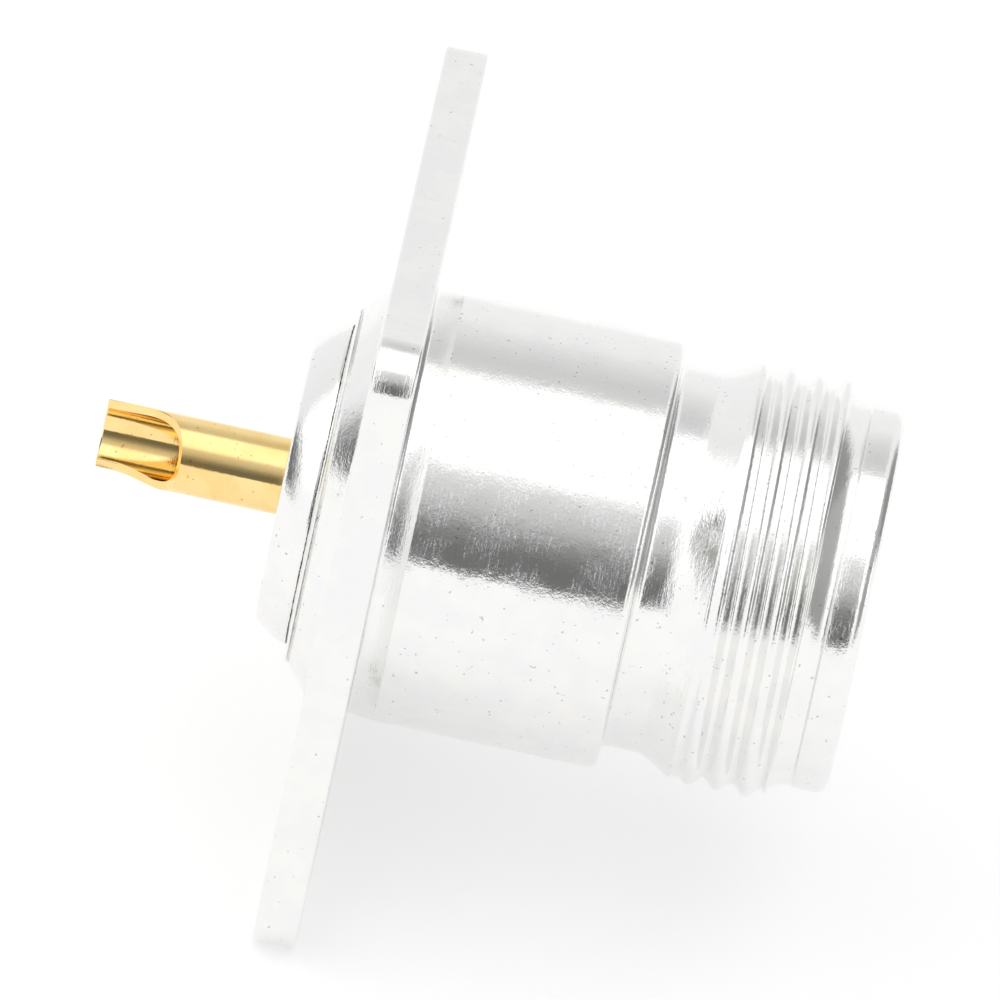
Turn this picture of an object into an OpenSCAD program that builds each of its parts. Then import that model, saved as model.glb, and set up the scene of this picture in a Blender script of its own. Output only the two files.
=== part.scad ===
// Coaxial panel jack with a square four-hole flange, a threaded front and a solder cup.
// Millimetres. The connector's axis is X: the mating end points to +X and the solder cup to -X.
// The origin is the centre of the flange's rear face, the face that seats on a panel.
// The flange's sides lie along Y and Z.

/* [Flange] */
// Side of the square flange
flange_side = 25.4; // [24:0.1:32]
// Thickness of the flange
flange_t = 1.6; // [1.2:0.1:3]
// Radius of the flange's four corners
flange_corner_r = 1.8; // [0.5:0.1:3]
// Distance between neighbouring screw holes, centre to centre
hole_spacing = 18.26; // [17.5:0.02:19.5]
// Diameter of a screw hole
hole_d = 3.2; // [2.2:0.1:3.6]

/* [Barrel and neck] */
// Diameter of the plain barrel in front of the flange
barrel_d = 16; // [15.9:0.1:17.5]
// Length of the barrel, from the flange to its front shoulder
barrel_l = 9.27; // [8:0.01:14]
// Length of the shallow cone that relieves the barrel's root
relief_l = 1; // [0.5:0.05:1.5]
// Depth of the relief at the flange
relief_depth = 0.1; // [0.04:0.01:0.2]
// Radius of the fillet where the relief meets the flange
root_fillet_r = 0.2; // [0.1:0.05:0.4]
// Rounding of the barrel's front edge
shoulder_round_r = 0.3; // [0.1:0.05:0.5]
// Diameter of the neck between the barrel and the thread
neck_d = 14.2; // [13.4:0.1:14.8]
// Length of the neck
neck_l = 1.43; // [0.8:0.01:3]

/* [Coupling thread] */
// Major diameter of the coupling thread, 5/8 inch less its plating allowance
thread_d = 15.7; // [15.4:0.02:15.88]
// Pitch of the coupling thread, 24 to the inch
thread_pitch = 1.0583; // [0.9:0.0001:1.27]
// Depth of the thread
thread_depth = 0.36; // [0.3:0.01:0.65]
// Length over which the thread runs in from the neck
run_in_l = 1.5; // [0.8:0.1:2.5]
// Length of the full thread
thread_l = 3.2; // [2.2:0.1:6]
// Length of the step down from the last crest to the nose
lead_l = 1.04; // [0.8:0.02:2]

/* [Nose and mating bore] */
// Diameter of the plain nose
nose_d = 14.3; // [13.8:0.1:14.6]
// Length of the plain nose
nose_l = 1.21; // [0.8:0.01:2.5]
// Rounding of the nose's outer edge
nose_round_r = 0.45; // [0.1:0.05:0.6]
// Distance from the front rim back to the shoulder that the plug's outer contact meets
shoulder_depth = 9.1; // [8.5:0.05:9.6]
// Diameter of the bore that grips the plug's outer contact
contact_bore_d = 8.1; // [7.9:0.02:8.3]
// Length of that bore
contact_bore_l = 5.5; // [4.5:0.1:6]
// Diameter of the wider bore at the mouth
entry_bore_d = 8.7; // [8.5:0.05:9.4]
// Length of the cone between the two bores
entry_cone_l = 0.3; // [0.2:0.05:0.6]
// Width of the chamfer at the mouth
mouth_chamfer = 0.85; // [0.3:0.05:1.1]

/* [Rear boss and bushing] */
// Height of the body's rounded boss behind the flange
boss_h = 1.1; // [0.8:0.05:1.4]
// Radius of the boss's convex side
boss_crown_r = 1.5; // [1.45:0.05:1.7]
// Radius of the fillet between the boss and the flange
boss_fillet_r = 0.3; // [0.1:0.05:0.5]
// Diameter of the flat face on the boss, where the bushing's head seats
boss_seat_d = 12; // [11.8:0.1:12.6]
// Height of the bushing's domed head
head_h = 1.3; // [1:0.05:2]
// Diameter of the head's rear face
head_face_d = 10.4; // [9.6:0.1:11]
// Radius of the head's crowned side
head_crown_r = 3.5; // [2.5:0.1:6]
// Diameter of the bushing's shank and of its seat in the body
shank_d = 11.2; // [10.8:0.05:11.6]
// Depth of the shank's seat in front of the flange's rear face
shank_seat_x = 3; // [2:0.1:4]
// Diameter of the hole in the bushing's rear lip
lip_hole_d = 6.6; // [5.5:0.1:7.4]
// Thickness of the bushing's rear lip
lip_t = 1; // [0.6:0.05:1.3]

/* [Insulators] */
// Diameter of the bore that holds the insulators
bead_bore_d = 9.5; // [9:0.05:10]
// Thickness of the body's web behind the mating shoulder
web_t = 2; // [1.2:0.1:3]
// Diameter of the hole through the web
web_hole_d = 7; // [6:0.05:7.4]
// Place of the joint between the two insulators, in front of the flange's rear face
bead_split_x = 3.4; // [2.9:0.1:4.2]
// How far each insulator's nose lies below the metal face around it
nose_setback = 0.1; // [0.05:0.05:0.3]

/* [Centre contact] */
// Outside diameter of the contact's socket and stem
socket_d = 3.04; // [2.8:0.02:3.2]
// Diameter of the hole in the socket
socket_bore_d = 1.7; // [1.6:0.02:1.9]
// Depth of the hole in the socket
socket_depth = 5.6; // [5:0.1:6.5]
// Distance of the socket's tip in front of the mating shoulder
socket_reach = 5; // [4.75:0.05:5.25]
// Width of the four slots that let the socket spring
slot_w = 0.25; // [0.15:0.01:0.3]
// Length of the slots
slot_l = 4; // [3:0.1:4.6]
// Bevel at the socket's tip, inside and outside
socket_bevel = 0.2; // [0.1:0.02:0.3]
// Diameter of the collar that holds the contact between the insulators
collar_d = 4.4; // [4:0.1:5.5]
// Length of the collar
collar_l = 1.2; // [0.8:0.1:2]

/* [Solder cup] */
// Outside diameter of the tail and its solder cup
cup_d = 2.84; // [2.6:0.02:3]
// Length of the tail behind the bushing
cup_reach = 6.85; // [6.5:0.05:9]
// Diameter of the cup's hole
cup_bore_d = 2.24; // [2:0.02:2.3]
// Depth of the cup's hole
cup_depth = 6; // [5.8:0.1:6.4]
// Radius of the cutter that scoops the cup's side away
scoop_r = 2.75; // [2.4:0.05:3.2]
// Distance of the cutter's centre in front of the cup's end
scoop_inset = 0.4; // [0.2:0.05:0.6]
// How far the scoop goes past the cup's axis
scoop_past_axis = 0.55; // [0.3:0.05:0.7]
// Angle of the scoop's opening above the horizontal
scoop_elevation = 12; // [-90:1:90]

/* [Fits] */
// Radial clearance of the bushing's shank in its seat
shank_clearance = 0.01; // [0.01:0.01:0.05]
// Radial clearance of an insulator in its bore and on the contact
bead_clearance = 0.03; // [0.01:0.01:0.08]
// Gap in front of the bushing's shank
shank_end_gap = 0.1; // [0.05:0.05:0.3]

/* [Hidden] */
$fn = 96;

// Length by which a cutting shape runs past the face it opens
over = 1;

// Stations along the axis
relief_x = flange_t + relief_l;
shoulder_x = flange_t + barrel_l;
run_in_x = shoulder_x + neck_l;
thread_x = run_in_x + run_in_l;
thread_end_x = thread_x + thread_l;
nose_x = thread_end_x + lead_l;
rim_x = nose_x + nose_l;
mating_x = rim_x - shoulder_depth;
web_x = mating_x - web_t;
contact_bore_x = mating_x + contact_bore_l;
entry_bore_x = contact_bore_x + entry_cone_l;
boss_x = -boss_h;
head_x = boss_x - head_h;
lip_x = head_x + lip_t;
socket_x = mating_x + socket_reach;
cup_x = head_x - cup_reach;

// Radius of the boss where its convex side meets the flange
boss_foot_r = boss_seat_d / 2 + sqrt(pow(boss_crown_r, 2) - pow(boss_crown_r - boss_h, 2));

// The thread: its turns, the width of a crest and the length of a flank along the axis
turns = ceil(thread_l / thread_pitch);
crest_w = thread_pitch / 8;
flank_l = thread_depth * tan(30);

// ---- shapes that repeat -------------------------------------------------------------

// Turns a half-section about the connector's axis. In the half-section x is the radius
// and y is the station along the axis.
module turned()
    rotate([0, 90, 0]) rotate_extrude() children();

// A plain step of a half-section, from one station to another
module band(d, from, to)
    translate([0, from]) square([d / 2, to - from]);

// A tapered step of a half-section
module taper(d_from, d_to, from, to)
    polygon([[0, from], [d_from / 2, from], [d_to / 2, to], [0, to]]);

// What a rounding of radius e takes off an outer edge at diameter d and station x.
// facing is 1 for an edge that faces forward and -1 for one that faces back.
module edge_waste(d, x, e, facing)
    translate([d / 2, x])
        mirror([0, facing > 0 ? 0 : 1])
            translate([-e, -e])
                difference() {
                    square(2 * e);
                    circle(e);
                }

// A concave fillet of radius e in the corner between a cylinder of diameter d and a face
// at station x that looks forward (facing 1) or back (facing -1)
module corner_fillet(d, x, e, facing)
    translate([d / 2, x])
        mirror([0, facing > 0 ? 0 : 1])
            difference() {
                square(e);
                translate([e, e]) circle(e);
            }

// ---- the body -------------------------------------------------------------------------

module flange_plate()
    rotate([90, 0, 90])
        linear_extrude(flange_t) {
            square([flange_side, flange_side - 2 * flange_corner_r], center = true);
            square([flange_side - 2 * flange_corner_r, flange_side], center = true);
            for (y = [-1, 1], z = [-1, 1])
                translate([y, z] * (flange_side / 2 - flange_corner_r)) circle(flange_corner_r);
        }

module screw_holes()
    for (y = [-1, 1], z = [-1, 1])
        translate([-over, y * hole_spacing / 2, z * hole_spacing / 2])
            rotate([0, 90, 0]) cylinder(d = hole_d, h = flange_t + 2 * over);

// The convex boss behind the flange
module boss_section() {
    band(boss_seat_d, boss_x, 0);
    intersection() {
        translate([boss_seat_d / 2, boss_x + boss_crown_r]) circle(boss_crown_r);
        translate([boss_seat_d / 2, boss_x]) square([boss_crown_r, boss_h]);
    }
    corner_fillet(2 * boss_foot_r, 0, boss_fillet_r, -1);
}

// What the relief takes off the barrel's root: a cone that is deepest at the flange
module relief_waste()
    polygon([
        [barrel_d / 2 - relief_depth, flange_t],
        [barrel_d / 2 + over, flange_t],
        [barrel_d / 2 + over, relief_x],
        [barrel_d / 2, relief_x]
    ]);

// The barrel, the neck and the cone that the thread rises from
module barrel_section() {
    difference() {
        band(barrel_d, 0, shoulder_x);
        edge_waste(barrel_d, shoulder_x, shoulder_round_r, 1);
        relief_waste();
    }
    corner_fillet(barrel_d - 2 * relief_depth, flange_t, root_fillet_r, 1);
    band(neck_d, shoulder_x, run_in_x);
    corner_fillet(neck_d, shoulder_x, shoulder_round_r, 1);
    taper(neck_d, thread_d, run_in_x, thread_x);
}

// The thread as rings of the thread's own section, one for each turn
module thread_section() {
    band(thread_d - 2 * thread_depth, run_in_x, thread_end_x);
    for (turn = [0:turns - 1])
        translate([thread_d / 2 - thread_depth, thread_x + turn * thread_pitch])
            polygon([
                [0, -crest_w / 2 - flank_l],
                [thread_depth, -crest_w / 2],
                [thread_depth, crest_w / 2],
                [0, crest_w / 2 + flank_l]
            ]);
}

// The step from the last crest down to the nose, and the nose
module nose_section() {
    taper(thread_d - thread_depth, nose_d, thread_end_x, nose_x);
    difference() {
        band(nose_d, nose_x, rim_x);
        edge_waste(nose_d, rim_x, nose_round_r, 1);
    }
}

// Everything that is bored out of the body, from the rear to the mouth
module body_bores() {
    band(shank_d, boss_x - over, shank_seat_x);
    band(bead_bore_d, 0, web_x);
    band(web_hole_d, 0, mating_x + over);
    band(contact_bore_d, mating_x, contact_bore_x);
    taper(contact_bore_d, entry_bore_d, contact_bore_x, entry_bore_x);
    band(entry_bore_d, entry_bore_x, rim_x + over);
    taper(entry_bore_d, entry_bore_d + 2 * (mouth_chamfer + over), rim_x - mouth_chamfer, rim_x + over);
}

module flanged_body()
    color("gainsboro")
        difference() {
            union() {
                flange_plate();
                turned() boss_section();
                turned() barrel_section();
                turned() thread_section();
                turned() nose_section();
            }
            turned() body_bores();
            screw_holes();
        }

// ---- the bushing that closes the rear ---------------------------------------------------

// Centre of the circle of radius r through the points a and b, on their inner side
function crown_centre(a, b, r) =
    let (chord = b - a, half = norm(chord) / 2)
    (a + b) / 2 + [-chord.y, chord.x] / norm(chord) * sqrt(r * r - half * half);

module head_section() {
    head_edge = [head_face_d / 2, head_x];
    seat_edge = [boss_seat_d / 2, boss_x];
    taper(head_face_d, boss_seat_d, head_x, boss_x);
    intersection() {
        translate(crown_centre(head_edge, seat_edge, head_crown_r)) circle(head_crown_r);
        translate([shank_d / 4, head_x]) square([boss_seat_d / 2 - shank_d / 4, head_h]);
    }
}

module rear_bushing()
    color("silver")
        turned()
            difference() {
                union() {
                    head_section();
                    band(shank_d - 2 * shank_clearance, boss_x, shank_seat_x - shank_end_gap);
                }
                band(lip_hole_d, head_x - over, 0);
                band(bead_bore_d, lip_x, shank_seat_x + over);
            }

// ---- the insulators ---------------------------------------------------------------------

module front_insulator()
    color("white")
        turned()
            difference() {
                union() {
                    band(bead_bore_d - 2 * bead_clearance, bead_split_x, web_x);
                    band(web_hole_d - 2 * bead_clearance, bead_split_x, mating_x - nose_setback);
                }
                band(socket_d + 2 * bead_clearance, bead_split_x - over, mating_x + over);
                band(collar_d + 2 * bead_clearance, bead_split_x - over, bead_split_x + collar_l);
            }

module rear_insulator()
    color("white")
        turned()
            difference() {
                union() {
                    band(bead_bore_d - 2 * bead_clearance, lip_x, bead_split_x);
                    band(lip_hole_d - 2 * bead_clearance, head_x + nose_setback, lip_x);
                }
                band(cup_d + 2 * bead_clearance, head_x - over, bead_split_x + over);
            }

// ---- the centre contact -------------------------------------------------------------------

// Outside of the contact: tail, collar, stem and socket with a bevelled tip
module contact_section() {
    band(cup_d, cup_x, bead_split_x);
    band(collar_d, bead_split_x, bead_split_x + collar_l);
    band(socket_d, bead_split_x, socket_x - socket_bevel);
    taper(socket_d, socket_d - 2 * socket_bevel, socket_x - socket_bevel, socket_x);
}

// The drilled socket with its lead-in
module socket_hole_section() {
    band(socket_bore_d, socket_x - socket_depth, socket_x + over);
    taper(socket_bore_d, socket_bore_d + 2 * (socket_bevel + over), socket_x - socket_bevel, socket_x + over);
}

// The drilled cup, with the cone that the drill leaves at its bottom
module cup_hole_section() {
    band(cup_bore_d, cup_x - over, cup_x + cup_depth);
    taper(cup_bore_d, 0, cup_x + cup_depth, cup_x + cup_depth + cup_bore_d / 2 / tan(59));
}

// Two crossed saw cuts make the four slots
module socket_slots()
    for (turn = [0, 90])
        translate([socket_x - slot_l, 0, 0])
            rotate([turn + 45, 0, 0])
                translate([0, -socket_d, -slot_w / 2])
                    cube([slot_l + over, 2 * socket_d, slot_w]);

// A round cutter takes the side of the cup away
module cup_scoop()
    rotate([90 - scoop_elevation, 0, 0])
        translate([cup_x + scoop_inset, 0, scoop_r - scoop_past_axis])
            rotate([90, 0, 0])
                cylinder(r = scoop_r, h = 2 * cup_d, center = true);

module centre_contact()
    color("gold")
        difference() {
            turned() contact_section();
            turned() socket_hole_section();
            turned() cup_hole_section();
            socket_slots();
            cup_scoop();
        }

flanged_body();
rear_bushing();
front_insulator();
rear_insulator();
centre_contact();
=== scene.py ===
"""Coaxial panel jack: bright nickel body and bushing, gold contact, white insulators."""

from math import acos, atan, atan2, cos, degrees, pi, radians, sin, sqrt, tan

import bmesh
import bpy
from mathutils import Matrix, Vector


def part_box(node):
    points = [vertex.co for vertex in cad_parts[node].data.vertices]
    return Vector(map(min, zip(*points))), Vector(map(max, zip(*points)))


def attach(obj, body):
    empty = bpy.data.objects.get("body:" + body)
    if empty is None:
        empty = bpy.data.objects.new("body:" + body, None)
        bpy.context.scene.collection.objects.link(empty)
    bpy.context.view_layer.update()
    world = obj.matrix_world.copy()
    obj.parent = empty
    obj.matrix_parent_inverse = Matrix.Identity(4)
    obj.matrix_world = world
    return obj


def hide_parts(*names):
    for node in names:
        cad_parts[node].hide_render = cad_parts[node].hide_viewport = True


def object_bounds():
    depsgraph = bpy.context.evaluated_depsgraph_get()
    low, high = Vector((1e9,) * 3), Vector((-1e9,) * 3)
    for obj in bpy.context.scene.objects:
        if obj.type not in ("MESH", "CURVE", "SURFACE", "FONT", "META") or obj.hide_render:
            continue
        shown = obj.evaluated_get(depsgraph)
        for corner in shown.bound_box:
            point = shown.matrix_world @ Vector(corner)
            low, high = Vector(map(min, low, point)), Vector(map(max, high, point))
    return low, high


MM = 0.001

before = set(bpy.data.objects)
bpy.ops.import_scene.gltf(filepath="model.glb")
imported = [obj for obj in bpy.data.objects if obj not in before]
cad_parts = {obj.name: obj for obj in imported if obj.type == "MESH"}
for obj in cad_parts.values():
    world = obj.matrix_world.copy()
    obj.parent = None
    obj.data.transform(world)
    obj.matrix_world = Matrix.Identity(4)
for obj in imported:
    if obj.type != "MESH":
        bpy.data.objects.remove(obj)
CAD_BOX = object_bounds()
BODY_LOW, BODY_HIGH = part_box("flanged_body")
BUSHING_LOW, BUSHING_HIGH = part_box("rear_bushing")
FRONT_BEAD_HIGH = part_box("front_insulator")[1]
REAR_BEAD_LOW, REAR_BEAD_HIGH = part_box("rear_insulator")
CONTACT_LOW, CONTACT_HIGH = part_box("centre_contact")

# ---- camera --------------------------------------------------------------------------
CAMERA_AZIMUTH = 0.0      # degrees towards the mating end
CAMERA_ELEVATION = 29.5
CAMERA_DISTANCE = 1000 * MM
AXIS_TILT = 12.2          # how far the connector's axis runs down to the right
LOOK_ALONG = 5.42 * MM    # the point looked at, along the axis
LOOK_ABOVE = 0.82 * MM    # and above it in the picture
PICTURE_WIDTH = 36.36 * MM
SENSOR_WIDTH = 36         # millimetres

# ---- stations along the axis and sizes, in millimetres ---------------------------------
FLANGE_T = 1.6
FLANGE_CORNER_R = 1.8
FLANGE_EDGE_R = 0.12
HOLE_SPACING = 18.26
HOLE_R = 1.6
HOLE_EDGE_R = 0.1

BARREL_R = 8.0
RELIEF_X = 2.6
RELIEF_DEPTH = 0.1
ROOT_FILLET_R = 0.2
SHOULDER_X = 10.87
SHOULDER_ROUND_R = 0.3
NECK_R = 7.1
RUN_IN_X = 12.3
RUN_IN_CURVE = 1.15       # power by which the blank rises from the neck to the thread
THREAD_X = 13.7           # middle of the first full crest, at THREAD_TURN
THREAD_TURN = 60.5        # degrees round the axis, from +Y towards +Z
THREAD_END_X = 17.0
THREAD_R = 7.85
THREAD_PITCH = 1.0583
THREAD_DEPTH = 0.36
CREST_HALF = 0.02         # half the crest's flat
GROOVE_START_X = 13.35    # where the groove begins, and where it has its full depth
GROOVE_FULL_X = 14.0
LEAD_X = 17.12            # foot of the last crest
LEAD_R = 7.42
LEAD_CURVE = 1.6          # power by which the lead falls to the step
NOSE_X = 17.95
NOSE_R = 7.15
NOSE_STEP = 0.07          # height of the small step behind the nose
NOSE_EDGE_R = 0.05
RIM_X = BODY_HIGH.x / MM
NOSE_ROUND_R = 0.45

MATING_X = RIM_X - 9.1
WEB_X = MATING_X - 2.0
CONTACT_BORE_R = 4.05
CONTACT_BORE_END_X = MATING_X + 5.5
ENTRY_BORE_R = 4.35
ENTRY_BORE_X = CONTACT_BORE_END_X + 0.3
MOUTH_CHAMFER = 0.85
MOUTH_EDGE_R = 0.1
BEAD_BORE_R = 4.75
WEB_HOLE_R = 3.5
WEB_CHAMFER = 0.05
SHANK_R = 5.6
SHANK_CLEARANCE = 0.01
SHANK_SEAT_X = 3.0
SEAT_CHAMFER = 0.1

BOSS_X = BODY_LOW.x / MM
BOSS_SEAT_R = 6.0
BOSS_CROWN_R = 1.5
BOSS_FILLET_R = 0.3
SEAM_X = -0.95            # where the head's rounded edge ends in its seat on the boss

HEAD_X = BUSHING_LOW.x / MM
HEAD_FACE_R = 5.2
HEAD_CROWN_R = 3.5
LIP_HOLE_R = 3.3
HEAD_EDGE_R = 0.35
FACE_EDGE_R = 0.1
LIP_X = HEAD_X + 1.0
LIP_EDGE_R = 0.12

BEAD_EDGE_R = 0.08
BEAD_CLEARANCE = 0.03

SOCKET_R = 1.52
SOCKET_BORE_R = 0.85
SOCKET_DEPTH = 5.6
SOCKET_BEVEL = 0.2
SLOT_W = 0.25
SLOT_L = 4.0
COLLAR_R = 2.2
COLLAR_L = 1.2
BEAD_SPLIT_X = REAR_BEAD_HIGH.x / MM
CONTACT_EDGE_R = 0.04
CUP_R = 1.42
CUP_BORE_R = 1.12
CUP_DEPTH = 6.0
DRILL_HALF_ANGLE = 59     # degrees, of the drill's point at the bottom of the cup
SCOOP_R = 2.75
SCOOP_INSET = 0.4
SCOOP_PAST_AXIS = 0.55
SCOOP_ELEVATION = 12
SCOOP_ANCHOR = 3.6        # the cup's wall past here stays as turned

TURN_STEPS = 256          # steps round a large turned piece
SMALL_TURN_STEPS = 128
CUP_TURN_STEPS = 192
HOLE_TURN_STEPS = 48
ROWS_PER_PITCH = 38       # rows of the mesh in one pitch of the thread
SHARP_ANGLE = 40          # degrees past which an edge is shaded sharp


# ---- turned shapes --------------------------------------------------------------------
def arc(centre_x, centre_r, radius, start, end, steps=6):
    """Points (station, radius) on a circle of the half-section. Angle 0 points along +X, 90 outwards."""
    angles = [radians(start + (end - start) * i / steps) for i in range(steps + 1)]
    return [(centre_x + radius * cos(a), centre_r + radius * sin(a)) for a in angles]


def spin_profile(bm, points, steps, closed=False, centre=(0.0, 0.0)):
    """Turns a half-section of (station, radius) points round an axis along X and returns its vertices."""
    y, z = centre
    verts = [bm.verts.new((x * MM, y * MM, (z + r) * MM)) for x, r in points]
    edges = [bm.edges.new(pair) for pair in zip(verts, verts[1:])]
    if closed:
        edges.append(bm.edges.new((verts[-1], verts[0])))
    known = set(bm.verts) - set(verts)
    bmesh.ops.spin(bm, geom=verts + edges, cent=(0, y * MM, z * MM), axis=(1, 0, 0), dvec=(0, 0, 0),
                   angle=2 * pi, steps=steps, use_merge=True, use_normal_flip=False, use_duplicate=False)
    return [v for v in bm.verts if v not in known]


def close_up(bm):
    """Merges what coincides, such as poles, and points every face outwards."""
    bmesh.ops.remove_doubles(bm, verts=bm.verts, dist=0.0005 * MM)
    bmesh.ops.dissolve_degenerate(bm, edges=bm.edges, dist=0.0002 * MM)
    bmesh.ops.recalc_face_normals(bm, faces=bm.faces)


def make_piece(name, bm, material, node):
    """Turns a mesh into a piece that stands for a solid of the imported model."""
    mesh = bpy.data.meshes.new(name)
    bm.to_mesh(mesh)
    bm.free()
    mesh.materials.append(material)
    mesh.shade_smooth()
    mesh.set_sharp_from_angle(angle=radians(SHARP_ANGLE))
    piece = bpy.data.objects.new(name, mesh)
    bpy.context.scene.collection.objects.link(piece)
    weighted = piece.modifiers.new("face normals", "WEIGHTED_NORMAL")
    weighted.weight = 100
    weighted.keep_sharp = True
    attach(piece, "root")
    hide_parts(node)
    return piece


# ---- the body ---------------------------------------------------------------------------
def boss_foot_r():
    return BOSS_SEAT_R + sqrt(BOSS_CROWN_R ** 2 - (BOSS_CROWN_R + BOSS_X) ** 2)


def boss_points():
    """The convex boss, from the flange's rear face to the seat of the bushing's head."""
    foot = boss_foot_r()
    foot_angle = 180 - degrees(acos((foot - BOSS_SEAT_R) / BOSS_CROWN_R))
    fillet = arc(-BOSS_FILLET_R, foot + BOSS_FILLET_R, BOSS_FILLET_R, 0, -90, 5)
    centre_x = BOSS_X + BOSS_CROWN_R
    seam_angle = degrees(acos((SEAM_X - centre_x) / BOSS_CROWN_R))
    crown = arc(centre_x, BOSS_SEAT_R, BOSS_CROWN_R, foot_angle, seam_angle, 20)
    return fillet[:4] + [(x, r) for x, r in crown if x < -BOSS_FILLET_R * 0.6]


def bore_points():
    """Everything that is bored out of the body, from the bushing's seat to the mouth."""
    return [
        (SEAM_X, SHANK_R + SEAT_CHAMFER),
        (SEAM_X + SEAT_CHAMFER, SHANK_R),
        (SHANK_SEAT_X, SHANK_R),
        (SHANK_SEAT_X, BEAD_BORE_R),
        (WEB_X, BEAD_BORE_R),
        (WEB_X, WEB_HOLE_R),
        (MATING_X - WEB_CHAMFER, WEB_HOLE_R),
        (MATING_X, WEB_HOLE_R + WEB_CHAMFER),
        (MATING_X, CONTACT_BORE_R),
        (CONTACT_BORE_END_X, CONTACT_BORE_R),
        (ENTRY_BORE_X, ENTRY_BORE_R),
        (RIM_X - MOUTH_CHAMFER, ENTRY_BORE_R),
    ]


def nose_points():
    """The mouth's chamfer, the rim and the nose, back to the small step behind it."""
    mouth_r = ENTRY_BORE_R + MOUTH_CHAMFER
    edge_x = NOSE_X + NOSE_EDGE_R
    edge_r = NOSE_R - NOSE_EDGE_R
    return (
        arc(RIM_X - MOUTH_EDGE_R, mouth_r + 0.4 * MOUTH_EDGE_R, MOUTH_EDGE_R, -45, 0, 3)
        + arc(RIM_X - NOSE_ROUND_R, NOSE_R - NOSE_ROUND_R, NOSE_ROUND_R, 0, 90, 9)
        + arc(edge_x, edge_r, NOSE_EDGE_R, 90, 150, 3)
    )


def blank_r(x):
    """Radius of the turned blank that the thread is cut in."""
    if x <= THREAD_X:
        rise = min(max((x - RUN_IN_X) / (THREAD_X - RUN_IN_X), 0), 1)
        return NECK_R + (THREAD_R - NECK_R) * rise ** RUN_IN_CURVE
    if x <= THREAD_END_X:
        return THREAD_R
    if x <= LEAD_X:
        drop = (x - THREAD_END_X) / (LEAD_X - THREAD_END_X)
        return THREAD_R + (LEAD_R - THREAD_R) * (1 - cos(pi * drop)) / 2
    valley_r = NOSE_R - NOSE_STEP
    fall = min((x - LEAD_X) / (NOSE_X - 0.06 - LEAD_X), 1)
    return valley_r + (LEAD_R - valley_r) * (1 - fall) ** LEAD_CURVE


def thread_rows():
    """Evenly spaced rows of the mesh from the step behind the nose back to the neck."""
    first = NOSE_X - 0.05
    count = int((first - RUN_IN_X) / THREAD_PITCH * ROWS_PER_PITCH)
    rows = [first - i * (first - RUN_IN_X) / count for i in range(count)]
    return [(x, blank_r(x)) for x in rows]


def cut_thread(verts):
    """Cuts a right-handed groove into the blank, by moving its vertices towards the axis."""
    flank = THREAD_PITCH / 2 - CREST_HALF
    start = radians(THREAD_TURN)
    for v in verts:
        x = v.co.x / MM
        r = sqrt(v.co.y ** 2 + v.co.z ** 2) / MM
        if not GROOVE_START_X < x < LEAD_X or r < NECK_R:
            continue
        turn = (atan2(v.co.z, v.co.y) - start) / (2 * pi)
        phase = (x - THREAD_X) / THREAD_PITCH - turn
        away = abs(phase - round(phase)) * THREAD_PITCH
        down = min(max((away - CREST_HALF) / flank, 0), 1)
        run_in = min((x - GROOVE_START_X) / (GROOVE_FULL_X - GROOVE_START_X), 1)
        groove_r = THREAD_R - THREAD_DEPTH * run_in * (1 - cos(pi * down)) / 2
        if groove_r < r:
            v.co.yz = v.co.yz * (groove_r / r)


def barrel_points():
    """The neck, the shoulder and the barrel with its relieved root, back to the flange's front face."""
    e = SHOULDER_ROUND_R
    root_r = BARREL_R - RELIEF_DEPTH
    return (
        [(RUN_IN_X, NECK_R)]
        + arc(SHOULDER_X + e, NECK_R + e, e, 270, 180, 6)
        + arc(SHOULDER_X - e, BARREL_R - e, e, 0, 90, 7)
        + [(RELIEF_X + 0.03, BARREL_R), (RELIEF_X, BARREL_R - 0.01)]
        + arc(FLANGE_T + ROOT_FILLET_R, root_r + ROOT_FILLET_R, ROOT_FILLET_R, 264, 180, 5)
    )


def add_flange_edges(bm):
    """The flange's rim with its rounded corners and softened edges, open in front and behind."""
    half = BODY_HIGH.y / MM
    made = bmesh.ops.create_cube(bm, size=1)
    place = Matrix.Translation((FLANGE_T / 2 * MM, 0, 0))
    size = Matrix.Diagonal((FLANGE_T * MM, 2 * half * MM, 2 * half * MM, 1))
    bmesh.ops.transform(bm, matrix=place @ size, verts=made["verts"])
    corners = [e for e in bm.edges if abs(e.verts[0].co.x - e.verts[1].co.x) > FLANGE_T / 2 * MM]
    bmesh.ops.bevel(bm, geom=corners, offset=FLANGE_CORNER_R * MM, segments=14, profile=0.5,
                    affect="EDGES", material=-1)
    rims = [e for e in bm.edges if abs(e.verts[0].co.x - e.verts[1].co.x) < 0.01 * MM]
    bmesh.ops.bevel(bm, geom=rims, offset=FLANGE_EDGE_R * MM, segments=4, profile=0.5,
                    affect="EDGES", material=-1)
    wide = [f for f in bm.faces if abs(f.normal.x) > 0.999 and f.calc_area() > (half * MM) ** 2]
    bmesh.ops.delete(bm, geom=wide, context="FACES_ONLY")


def add_screw_holes(bm):
    """Four holes through the flange, with their edges broken."""
    e = HOLE_EDGE_R
    wall = arc(e, HOLE_R + e, e, 180, 270, 3) + arc(FLANGE_T - e, HOLE_R + e, e, 270, 360, 3)
    for y in (-1, 1):
        for z in (-1, 1):
            centre = (y * HOLE_SPACING / 2, z * HOLE_SPACING / 2)
            spin_profile(bm, wall, HOLE_TURN_STEPS, centre=centre)


def fill_flat(bm, x, facing):
    """Fills the flat face at a station between all the open edges that lie in it."""
    rim = [e for e in bm.edges
           if e.is_boundary and all(abs(v.co.x - x * MM) < 0.001 * MM for v in e.verts)]
    bmesh.ops.triangle_fill(bm, edges=rim, use_beauty=True, use_dissolve=False, normal=(facing, 0, 0))


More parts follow.
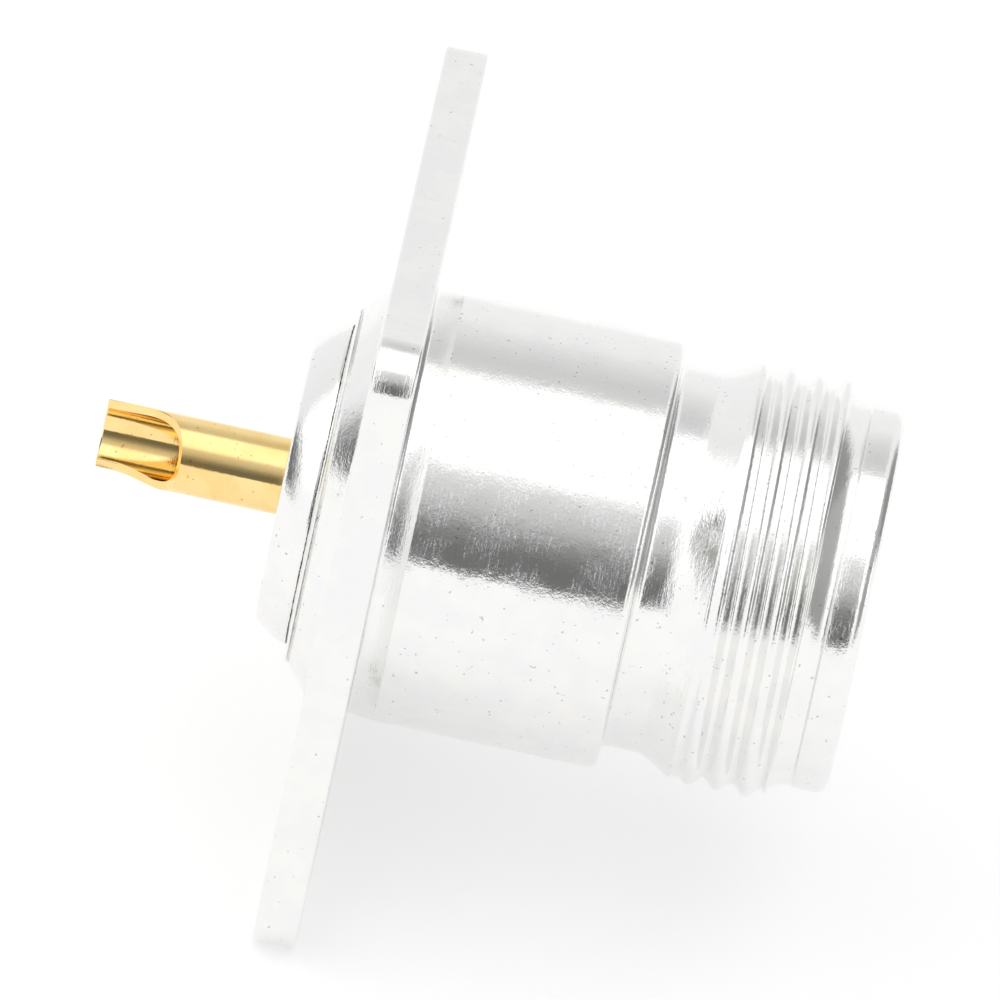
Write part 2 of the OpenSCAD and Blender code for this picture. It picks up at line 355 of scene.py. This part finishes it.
def build_body(material):
    bm = bmesh.new()
    add_flange_edges(bm)
    add_screw_holes(bm)
    profile = boss_points() + bore_points() + nose_points() + thread_rows() + barrel_points()
    turned = spin_profile(bm, profile, TURN_STEPS)
    cut_thread(turned)
    fill_flat(bm, 0, -1)
    fill_flat(bm, FLANGE_T, 1)
    close_up(bm)
    return make_piece("body_shell", bm, material, "flanged_body")


# ---- the bushing --------------------------------------------------------------------------
def crown_points():
    """The head's crowned side, from its rear face to where its edge is rounded."""
    ax, ar = HEAD_X, HEAD_FACE_R
    bx, br = BOSS_X, BOSS_SEAT_R
    chord = sqrt((bx - ax) ** 2 + (br - ar) ** 2)
    reach = sqrt(HEAD_CROWN_R ** 2 - chord ** 2 / 4) / chord
    cx = (ax + bx) / 2 + (br - ar) * reach
    cr = (ar + br) / 2 - (bx - ax) * reach
    start = degrees(atan2(ar - cr, ax - cx))
    edge_x = BOSS_X - HEAD_EDGE_R * 0.6
    end = degrees(acos((edge_x - cx) / HEAD_CROWN_R))
    edge_r = cr + HEAD_CROWN_R * sin(radians(end))
    edge = arc(edge_x - HEAD_EDGE_R * cos(radians(end)), edge_r - HEAD_EDGE_R * sin(radians(end)),
               HEAD_EDGE_R, end, 20, 12)
    return arc(cx, cr, HEAD_CROWN_R, start, end, 16) + [(x, r) for x, r in edge[1:] if x < SEAM_X]


def build_bushing(material):
    lip = LIP_EDGE_R
    shank_r = SHANK_R - SHANK_CLEARANCE
    shank_x = BUSHING_HIGH.x / MM
    profile = (
        crown_points()[1:]
        + [(SEAM_X, shank_r), (shank_x, shank_r)]
        + [(shank_x, BEAD_BORE_R), (LIP_X, BEAD_BORE_R), (LIP_X, LIP_HOLE_R)]
        + arc(HEAD_X + lip, LIP_HOLE_R + lip, lip, 270, 180, 4)
        + arc(HEAD_X + FACE_EDGE_R, HEAD_FACE_R - 0.8 * FACE_EDGE_R, FACE_EDGE_R, 180, 150, 2)
    )
    bm = bmesh.new()
    spin_profile(bm, profile, TURN_STEPS, closed=True)
    close_up(bm)
    return make_piece("bushing_shell", bm, material, "rear_bushing")


# ---- the insulators -------------------------------------------------------------------------
def build_front_insulator(material):
    e = BEAD_EDGE_R
    nose_x = FRONT_BEAD_HIGH.x / MM
    hole_r = SOCKET_R + BEAD_CLEARANCE
    outer_r = BEAD_BORE_R - BEAD_CLEARANCE
    nose_r = WEB_HOLE_R - BEAD_CLEARANCE
    collar_end = BEAD_SPLIT_X + COLLAR_L
    collar_hole_r = COLLAR_R + BEAD_CLEARANCE
    profile = (
        [(BEAD_SPLIT_X, collar_hole_r), (BEAD_SPLIT_X, outer_r - e), (BEAD_SPLIT_X + e, outer_r)]
        + [(WEB_X - e, outer_r), (WEB_X, outer_r - e), (WEB_X, nose_r)]
        + arc(nose_x - e, nose_r - e, e, 90, 0, 4)
        + arc(nose_x - e, hole_r + e, e, 0, -90, 4)
        + [(collar_end, hole_r), (collar_end, collar_hole_r)]
    )
    bm = bmesh.new()
    spin_profile(bm, profile, SMALL_TURN_STEPS, closed=True)
    close_up(bm)
    return make_piece("front_bead", bm, material, "front_insulator")


def build_rear_insulator(material):
    e = BEAD_EDGE_R
    end_x = REAR_BEAD_LOW.x / MM
    hole_r = CUP_R + BEAD_CLEARANCE
    outer_r = BEAD_BORE_R - BEAD_CLEARANCE
    nose_r = LIP_HOLE_R - BEAD_CLEARANCE
    profile = (
        [(BEAD_SPLIT_X, hole_r), (BEAD_SPLIT_X, outer_r - e), (BEAD_SPLIT_X - e, outer_r)]
        + [(LIP_X + e, outer_r), (LIP_X, outer_r - e), (LIP_X, nose_r)]
        + arc(end_x + e, nose_r - e, e, 90, 180, 4)
        + arc(end_x + e, hole_r + e, e, 180, 270, 4)
    )
    bm = bmesh.new()
    spin_profile(bm, profile, SMALL_TURN_STEPS, closed=True)
    close_up(bm)
    return make_piece("rear_bead", bm, material, "rear_insulator")


# ---- the centre contact ------------------------------------------------------------------------
def scoop_reach(height):
    """How far in front of the cup's end the scoop cuts, at a height over the axis towards the opening."""
    below_centre = SCOOP_R - SCOOP_PAST_AXIS - height
    if below_centre >= SCOOP_R:
        return 0.0
    return SCOOP_INSET + sqrt(SCOOP_R ** 2 - below_centre ** 2)


def scoop_cup(bm):
    """Draws the cup's end back to the scoop's cut, each point along its own line of the wall."""
    end = CONTACT_LOW.x / MM
    rise = radians(SCOOP_ELEVATION)
    for v in bm.verts:
        x, y, z = v.co / MM
        along = (x - end) / SCOOP_ANCHOR
        if along < 1:
            height = z * sin(rise) - y * cos(rise)
            v.co.x += scoop_reach(height) * (1 - along) * MM


def saw(bm, blade):
    """Takes a blade's shape out of a closed mesh and returns what is left."""
    things = []
    for name, shape in (("stock", bm), ("blade", blade)):
        mesh = bpy.data.meshes.new(name)
        shape.to_mesh(mesh)
        shape.free()
        thing = bpy.data.objects.new(name, mesh)
        bpy.context.scene.collection.objects.link(thing)
        things.append(thing)
    cut = things[0].modifiers.new("cut", "BOOLEAN")
    cut.object = things[1]
    cut.operation = "DIFFERENCE"
    cut.solver = "EXACT"
    left = bmesh.new()
    left.from_object(things[0], bpy.context.evaluated_depsgraph_get())
    for thing in things:
        bpy.data.meshes.remove(thing.data)
    return left


def cut_slots(bm):
    """Two crossed saw cuts make the socket's four slots."""
    tip = CONTACT_HIGH.x / MM
    size = Matrix.Diagonal((2 * SLOT_L * MM, 4 * SOCKET_R * MM, SLOT_W * MM, 1))
    for turn in (45, 135):
        blade = bmesh.new()
        place = Matrix.Translation((tip * MM, 0, 0)) @ Matrix.Rotation(radians(turn), 4, "X")
        bmesh.ops.create_cube(blade, size=1, matrix=place @ size)
        bm = saw(bm, blade)
    return bm


def build_contact(material):
    tip = CONTACT_HIGH.x / MM
    end = CONTACT_LOW.x / MM
    e = CONTACT_EDGE_R
    wall_r = (CUP_R + CUP_BORE_R) / 2
    bore_end = tip - SOCKET_DEPTH
    drill_point = CUP_BORE_R / tan(radians(DRILL_HALF_ANGLE))
    profile = (
        [(end + CUP_DEPTH + drill_point, 0), (end + CUP_DEPTH, CUP_BORE_R)]
        + [(end + SCOOP_ANCHOR, CUP_BORE_R), (end + e, CUP_BORE_R), (end, CUP_BORE_R + e), (end, wall_r)]
        + [(end, CUP_R - e), (end + e, CUP_R), (end + SCOOP_ANCHOR, CUP_R)]
        + [(BEAD_SPLIT_X, CUP_R), (BEAD_SPLIT_X, COLLAR_R - e), (BEAD_SPLIT_X + e, COLLAR_R)]
        + [(BEAD_SPLIT_X + COLLAR_L - e, COLLAR_R), (BEAD_SPLIT_X + COLLAR_L, COLLAR_R - e)]
        + [(BEAD_SPLIT_X + COLLAR_L, SOCKET_R), (tip - SOCKET_BEVEL, SOCKET_R)]
        + [(tip, SOCKET_R - SOCKET_BEVEL), (tip, SOCKET_BORE_R + SOCKET_BEVEL)]
        + [(tip - SOCKET_BEVEL, SOCKET_BORE_R), (bore_end, SOCKET_BORE_R), (bore_end, 0)]
    )
    bm = bmesh.new()
    spin_profile(bm, profile, CUP_TURN_STEPS)
    close_up(bm)
    scoop_cup(bm)
    return make_piece("contact_pin", cut_slots(bm), material, "centre_contact")


# ---- materials ----------------------------------------------------------------------------------
TOOL_RING_PITCH = 0.12 * MM   # on the beads' ends


def math_node(tree, operation, *values):
    """A Math node whose inputs are numbers or sockets; returns its output."""
    node = tree.nodes.new("ShaderNodeMath")
    node.operation = operation
    for socket, value in zip(node.inputs, values):
        if isinstance(value, (int, float)):
            socket.default_value = value
        else:
            tree.links.new(value, socket)
    return node.outputs[0]


def map_range(tree, value, low, high, to_low=0.0, to_high=1.0):
    """A value carried smoothly from one range to another, and held at its ends."""
    node = tree.nodes.new("ShaderNodeMapRange")
    node.interpolation_type = "SMOOTHSTEP"
    tree.links.new(value, node.inputs["Value"])
    for name, number in zip(("From Min", "From Max", "To Min", "To Max"), (low, high, to_low, to_high)):
        node.inputs[name].default_value = number
    return node.outputs["Result"]


def stretched(tree, vector, factors):
    """A vector with each part multiplied by its own factor."""
    node = tree.nodes.new("ShaderNodeVectorMath")
    node.operation = "MULTIPLY"
    tree.links.new(vector, node.inputs[0])
    node.inputs[1].default_value = factors
    return node.outputs[0]


def noise(tree, vector, scale, detail, roughness=0.5, distortion=0.0):
    node = tree.nodes.new("ShaderNodeTexNoise")
    tree.links.new(vector, node.inputs["Vector"])
    node.inputs["Scale"].default_value = scale
    node.inputs["Detail"].default_value = detail
    node.inputs["Roughness"].default_value = roughness
    node.inputs["Distortion"].default_value = distortion
    return node.outputs["Fac"]


def new_group(name, inputs, outputs):
    """An empty node group with a vector input, number inputs and number outputs."""
    tree = bpy.data.node_groups.new(name, "ShaderNodeTree")
    tree.interface.new_socket("Vector", in_out="INPUT", socket_type="NodeSocketVector")
    for label in inputs:
        tree.interface.new_socket(label, in_out="INPUT", socket_type="NodeSocketFloat")
    for label in outputs:
        tree.interface.new_socket(label, in_out="OUTPUT", socket_type="NodeSocketFloat")
    return tree, tree.nodes.new("NodeGroupInput"), tree.nodes.new("NodeGroupOutput")


def turned_plating_group():
    """Plated turned metal: fine streaks round the axis, pits, a grain that comes and goes, specks."""
    inputs = ("Streaks", "Pits", "Rings")
    outputs = ("Height", "Cloud", "Specks")
    tree, given, result = new_group("turned plating", inputs, outputs)
    vector = given.outputs["Vector"]
    streaks = noise(tree, stretched(tree, vector, (9000, 1900, 1900)), 1, 3, 0.62, 0.5)
    pits = noise(tree, vector, 11000, 2, 0.6)
    rings = noise(tree, stretched(tree, vector, (30000, 60, 60)), 1, 2, 0.6)
    cloud = noise(tree, vector, 750, 3, 0.55)
    patches = map_range(tree, cloud, 0.35, 0.62, 0.45, 1.0)
    height = math_node(tree, "MULTIPLY", streaks, given.outputs["Streaks"])
    height = math_node(tree, "MULTIPLY_ADD", pits, given.outputs["Pits"], height)
    height = math_node(tree, "MULTIPLY", height, patches)
    height = math_node(tree, "MULTIPLY_ADD", rings, given.outputs["Rings"], height)
    specks = map_range(tree, noise(tree, vector, 5200, 1), 0.72, 0.76)
    tree.links.new(height, result.inputs["Height"])
    tree.links.new(cloud, result.inputs["Cloud"])
    tree.links.new(specks, result.inputs["Specks"])
    return tree


def principled(name, metallic):
    """A material with its tree, its shader and the piece's own coordinates."""
    material = bpy.data.materials.new(name)
    material.use_nodes = True
    tree = material.node_tree
    shader = tree.nodes["Principled BSDF"]
    shader.inputs["Metallic"].default_value = metallic
    return material, tree, shader, tree.nodes.new("ShaderNodeTexCoord").outputs["Object"]


def colour_between(tree, factor, first, second):
    node = tree.nodes.new("ShaderNodeMix")
    node.data_type = "RGBA"
    tree.links.new(factor, node.inputs["Factor"])
    for socket, colour in ((node.inputs["A"], first), (node.inputs["B"], second)):
        if isinstance(colour, tuple):
            socket.default_value = (*colour, 1)
        else:
            tree.links.new(colour, socket)
    return node.outputs["Result"]


def add_bump(tree, shader, height, distance):
    bump = tree.nodes.new("ShaderNodeBump")
    bump.inputs["Strength"].default_value = 1
    bump.inputs["Distance"].default_value = distance
    tree.links.new(height, bump.inputs["Height"])
    tree.links.new(bump.outputs["Normal"], shader.inputs["Normal"])


def plated(name, group, clean, dull, speck, depth, streaks, pits, rings, gloss):
    """A plated metal: its clean and dull colours, its specks, its grain and its roughness."""
    material, tree, shader, place = principled(name, 1)
    grain = tree.nodes.new("ShaderNodeGroup")
    grain.node_tree = group
    tree.links.new(place, grain.inputs["Vector"])
    for label, amount in (("Streaks", streaks), ("Pits", pits), ("Rings", rings)):
        grain.inputs[label].default_value = amount
    tone = map_range(tree, grain.outputs["Cloud"], 0.35, 0.65)
    metal = colour_between(tree, tone, clean, dull)
    tree.links.new(colour_between(tree, grain.outputs["Specks"], metal, speck), shader.inputs["Base Color"])
    rough = map_range(tree, grain.outputs["Cloud"], 0.3, 0.7, *gloss)
    tree.links.new(rough, shader.inputs["Roughness"])
    add_bump(tree, shader, grain.outputs["Height"], depth)
    return material


def bright_nickel(group):
    return plated("bright nickel", group, (0.91, 0.905, 0.885), (0.88, 0.885, 0.88), (0.6, 0.6, 0.6),
                  depth=1.2e-5, streaks=0.7, pits=0.5, rings=0.05, gloss=(0.07, 0.14))


def gold_plate(group):
    return plated("gold plate", group, (1.0, 0.76, 0.35), (0.98, 0.7, 0.29), (0.75, 0.42, 0.14),
                  depth=4e-6, streaks=0.3, pits=0.5, rings=0.5, gloss=(0.06, 0.12))


def white_ptfe():
    """Turned white PTFE: waxy, with faint tool rings round the axis."""
    material, tree, shader, place = principled("white ptfe", 0)
    shader.inputs["Subsurface Weight"].default_value = 0.15
    shader.inputs["Subsurface Radius"].default_value = (0.0006, 0.0006, 0.0005)
    shader.inputs["Subsurface Scale"].default_value = 1
    flat = stretched(tree, place, (0, 1, 1))
    length = tree.nodes.new("ShaderNodeVectorMath")
    length.operation = "LENGTH"
    tree.links.new(flat, length.inputs[0])
    rings_turn = math_node(tree, "MULTIPLY", length.outputs["Value"], 2 * pi / TOOL_RING_PITCH)
    rings = math_node(tree, "SINE", rings_turn)
    cloud = noise(tree, place, 900, 3)
    white = colour_between(tree, cloud, (0.84, 0.84, 0.81), (0.9, 0.9, 0.885))
    tree.links.new(white, shader.inputs["Base Color"])
    tree.links.new(map_range(tree, cloud, 0.3, 0.7, 0.38, 0.52), shader.inputs["Roughness"])
    height = math_node(tree, "MULTIPLY_ADD", rings, 0.2, noise(tree, place, 6000, 2))
    add_bump(tree, shader, height, 5e-6)
    return material


# ---- studio -------------------------------------------------------------------------------------
def add_camera():
    azimuth = radians(CAMERA_AZIMUTH)
    elevation = radians(CAMERA_ELEVATION)
    tilt = radians(AXIS_TILT)
    backward = Vector((sin(azimuth) * cos(elevation), -cos(azimuth) * cos(elevation), sin(elevation)))
    level = Vector((cos(azimuth), sin(azimuth), 0))
    upright = backward.cross(level)
    roll = tilt - atan(tan(azimuth) * sin(elevation))
    right = level * cos(roll) + upright * sin(roll)
    up = upright * cos(roll) - level * sin(roll)
    above_axis = right * sin(tilt) + up * cos(tilt)
    target = Vector((LOOK_ALONG, 0, 0)) + above_axis * LOOK_ABOVE
    data = bpy.data.cameras.new("camera")
    data.sensor_width = SENSOR_WIDTH
    data.lens = data.sensor_width * CAMERA_DISTANCE / PICTURE_WIDTH
    data.clip_start = 0.001
    data.clip_end = 10
    camera = bpy.data.objects.new("camera", data)
    axes = Matrix((right, up, backward)).transposed().to_4x4()
    camera.matrix_world = Matrix.Translation(target + backward * CAMERA_DISTANCE) @ axes
    bpy.context.scene.collection.objects.link(camera)
    bpy.context.scene.camera = camera


# What the metal sees round the connector's axis, in degrees up from the horizon behind the camera,
# over the top and down beyond, and the brightness there. The first arc is a narrow strip straight
# across the axis, and the second is what lies to both sides of it.
FLOOR_ARC = [
    (-150, 0.9), (-128, 0.82), (-113, 0.88), (-92, 0.94), (-77, 1.0), (-50, 1.09), (-30, 1.09), (-14, 1.04),
]
STRIP_ARC = FLOOR_ARC + [
    (-7, 0.9), (-3, 0.3), (3, 0.17), (14, 0.17), (24, 0.3), (33, 0.55), (50, 0.8),
    (58, 1.35), (104, 1.35), (112, 0.7), (122, 0.66), (138, 0.8), (150, 0.93), (180, 0.97),
]
SIDE_ARC = FLOOR_ARC + [
    (0, 1.05), (24, 1.1), (58, 1.35), (104, 1.35), (112, 0.95), (122, 0.9), (150, 0.95), (180, 0.97),
]
STRIP_HALF = (8, 12)      # degrees to each side at which the strip begins to end, and has ended
# What dims both arcs towards the connector's ends, above the floor: degrees towards the mating end.
END_DIMMING = [(-90, 0.12), (-76, 0.16), (-64, 1.0), (30, 1.0), (38, 0.36), (70, 0.32), (78, 1.0), (90, 1.0)]
DIMMED_FROM = (-0.06, 0.06)   # sines of the heights over which that dimming comes in
DIMMED_TO = (0.9, 0.97)       # and over which it goes out again
FLOOR_Z = CAD_BOX[0].z
FLOOR_HALF = 2                # metres
FLOOR_GREY = 0.5              # what the floor scatters, and what it gives by itself where it is seen
FLOOR_GLOW = 0.56
FLOOR_BOUNCE = 0.8            # what it scatters on to the object


def add_ramp(tree, value, stops):
    """A ramp over a value from 0 to 1, from (place, brightness) stops; returns its colour."""
    ramp = tree.nodes.new("ShaderNodeValToRGB")
    tree.links.new(value, ramp.inputs[0])
    elements = ramp.color_ramp.elements
    for element, (place, light) in zip((elements[0], elements[1]), (stops[0], stops[-1])):
        element.position = place
        element.color = (light, light, light, 1)
    for place, light in stops[1:-1]:
        elements.new(place).color = (light, light, light, 1)
    return ramp.outputs["Color"]


def arc_ramp(tree, turn, stops):
    places = [(0.5 + degrees_up / 360, light) for degrees_up, light in stops]
    return add_ramp(tree, turn, [(0, stops[-1][1])] + places)


def multiplied(tree, first, second, factor):
    node = tree.nodes.new("ShaderNodeMix")
    node.data_type = "RGBA"
    node.blend_type = "MULTIPLY"
    tree.links.new(factor, node.inputs["Factor"])
    tree.links.new(first, node.inputs["A"])
    tree.links.new(second, node.inputs["B"])
    return node.outputs["Result"]


def add_world():
    world = bpy.data.worlds.new("studio")
    bpy.context.scene.world = world
    world.use_nodes = True
    tree = world.node_tree
    direction = tree.nodes.new("ShaderNodeTexCoord").outputs["Generated"]
    split = tree.nodes.new("ShaderNodeSeparateXYZ")
    tree.links.new(direction, split.inputs[0])
    x, y, z = split.outputs
    away = math_node(tree, "MULTIPLY", y, -1.0)
    angle = math_node(tree, "ARCTAN2", z, away)
    turn = math_node(tree, "MULTIPLY_ADD", angle, 0.5 / pi, 0.5)
    strip = arc_ramp(tree, turn, STRIP_ARC)
    sides = arc_ramp(tree, turn, SIDE_ARC)
    off_axis = math_node(tree, "ABSOLUTE", x)
    inner, outer = (sin(radians(a)) for a in STRIP_HALF)
    room = colour_between(tree, map_range(tree, off_axis, inner, outer), strip, sides)
    ends = add_ramp(tree, math_node(tree, "MULTIPLY_ADD", x, 0.5, 0.5),
                    [(0.5 + sin(radians(a)) / 2, light) for a, light in END_DIMMING])
    over_floor = map_range(tree, z, *DIMMED_FROM)
    below_top = map_range(tree, z, *DIMMED_TO, 1, 0)
    light = multiplied(tree, room, ends, math_node(tree, "MULTIPLY", over_floor, below_top))
    rays = tree.nodes.new("ShaderNodeLightPath")
    show = colour_between(tree, rays.outputs["Is Camera Ray"], light, (1.0, 1.0, 1.0))
    tree.links.new(show, tree.nodes["Background"].inputs["Color"])


def floor_material():
    """A pale floor that shows and reflects as white, with the object's soft shadow on it."""
    material = bpy.data.materials.new("pale floor")
    material.use_nodes = True
    tree = material.node_tree
    shader = tree.nodes["Principled BSDF"]
    shader.inputs["Base Color"].default_value = (FLOOR_GREY, FLOOR_GREY, FLOOR_GREY, 1)
    shader.inputs["Roughness"].default_value = 1
    shader.inputs["Specular IOR Level"].default_value = 0
    shader.inputs["Emission Color"].default_value = (1, 1, 1, 1)
    shader.inputs["Emission Strength"].default_value = FLOOR_GLOW
    plain = tree.nodes.new("ShaderNodeBsdfDiffuse")
    plain.inputs["Color"].default_value = (FLOOR_BOUNCE, FLOOR_BOUNCE, FLOOR_BOUNCE, 1)
    rays = tree.nodes.new("ShaderNodeLightPath")
    seen = math_node(tree, "MAXIMUM", rays.outputs["Is Camera Ray"], rays.outputs["Is Glossy Ray"])
    seen = math_node(tree, "MAXIMUM", seen, rays.outputs["Is Transmission Ray"])
    mix = tree.nodes.new("ShaderNodeMixShader")
    tree.links.new(seen, mix.inputs[0])
    tree.links.new(plain.outputs[0], mix.inputs[1])
    tree.links.new(shader.outputs[0], mix.inputs[2])
    tree.links.new(mix.outputs[0], tree.nodes["Material Output"].inputs["Surface"])
    return material


def add_floor():
    bm = bmesh.new()
    place = Matrix.Translation((0, 0, FLOOR_Z))
    bmesh.ops.create_grid(bm, x_segments=1, y_segments=1, size=FLOOR_HALF, matrix=place)
    mesh = bpy.data.meshes.new("floor")
    bm.to_mesh(mesh)
    bm.free()
    mesh.materials.append(floor_material())
    floor = bpy.data.objects.new("floor", mesh)
    bpy.context.scene.collection.objects.link(floor)


add_camera()
add_world()
add_floor()
plating = turned_plating_group()
nickel = bright_nickel(plating)
ptfe = white_ptfe()
build_body(nickel)
build_bushing(nickel)
build_front_insulator(ptfe)
build_rear_insulator(ptfe)
build_contact(gold_plate(plating))

bpy.context.scene.view_settings.view_transform = "Standard"
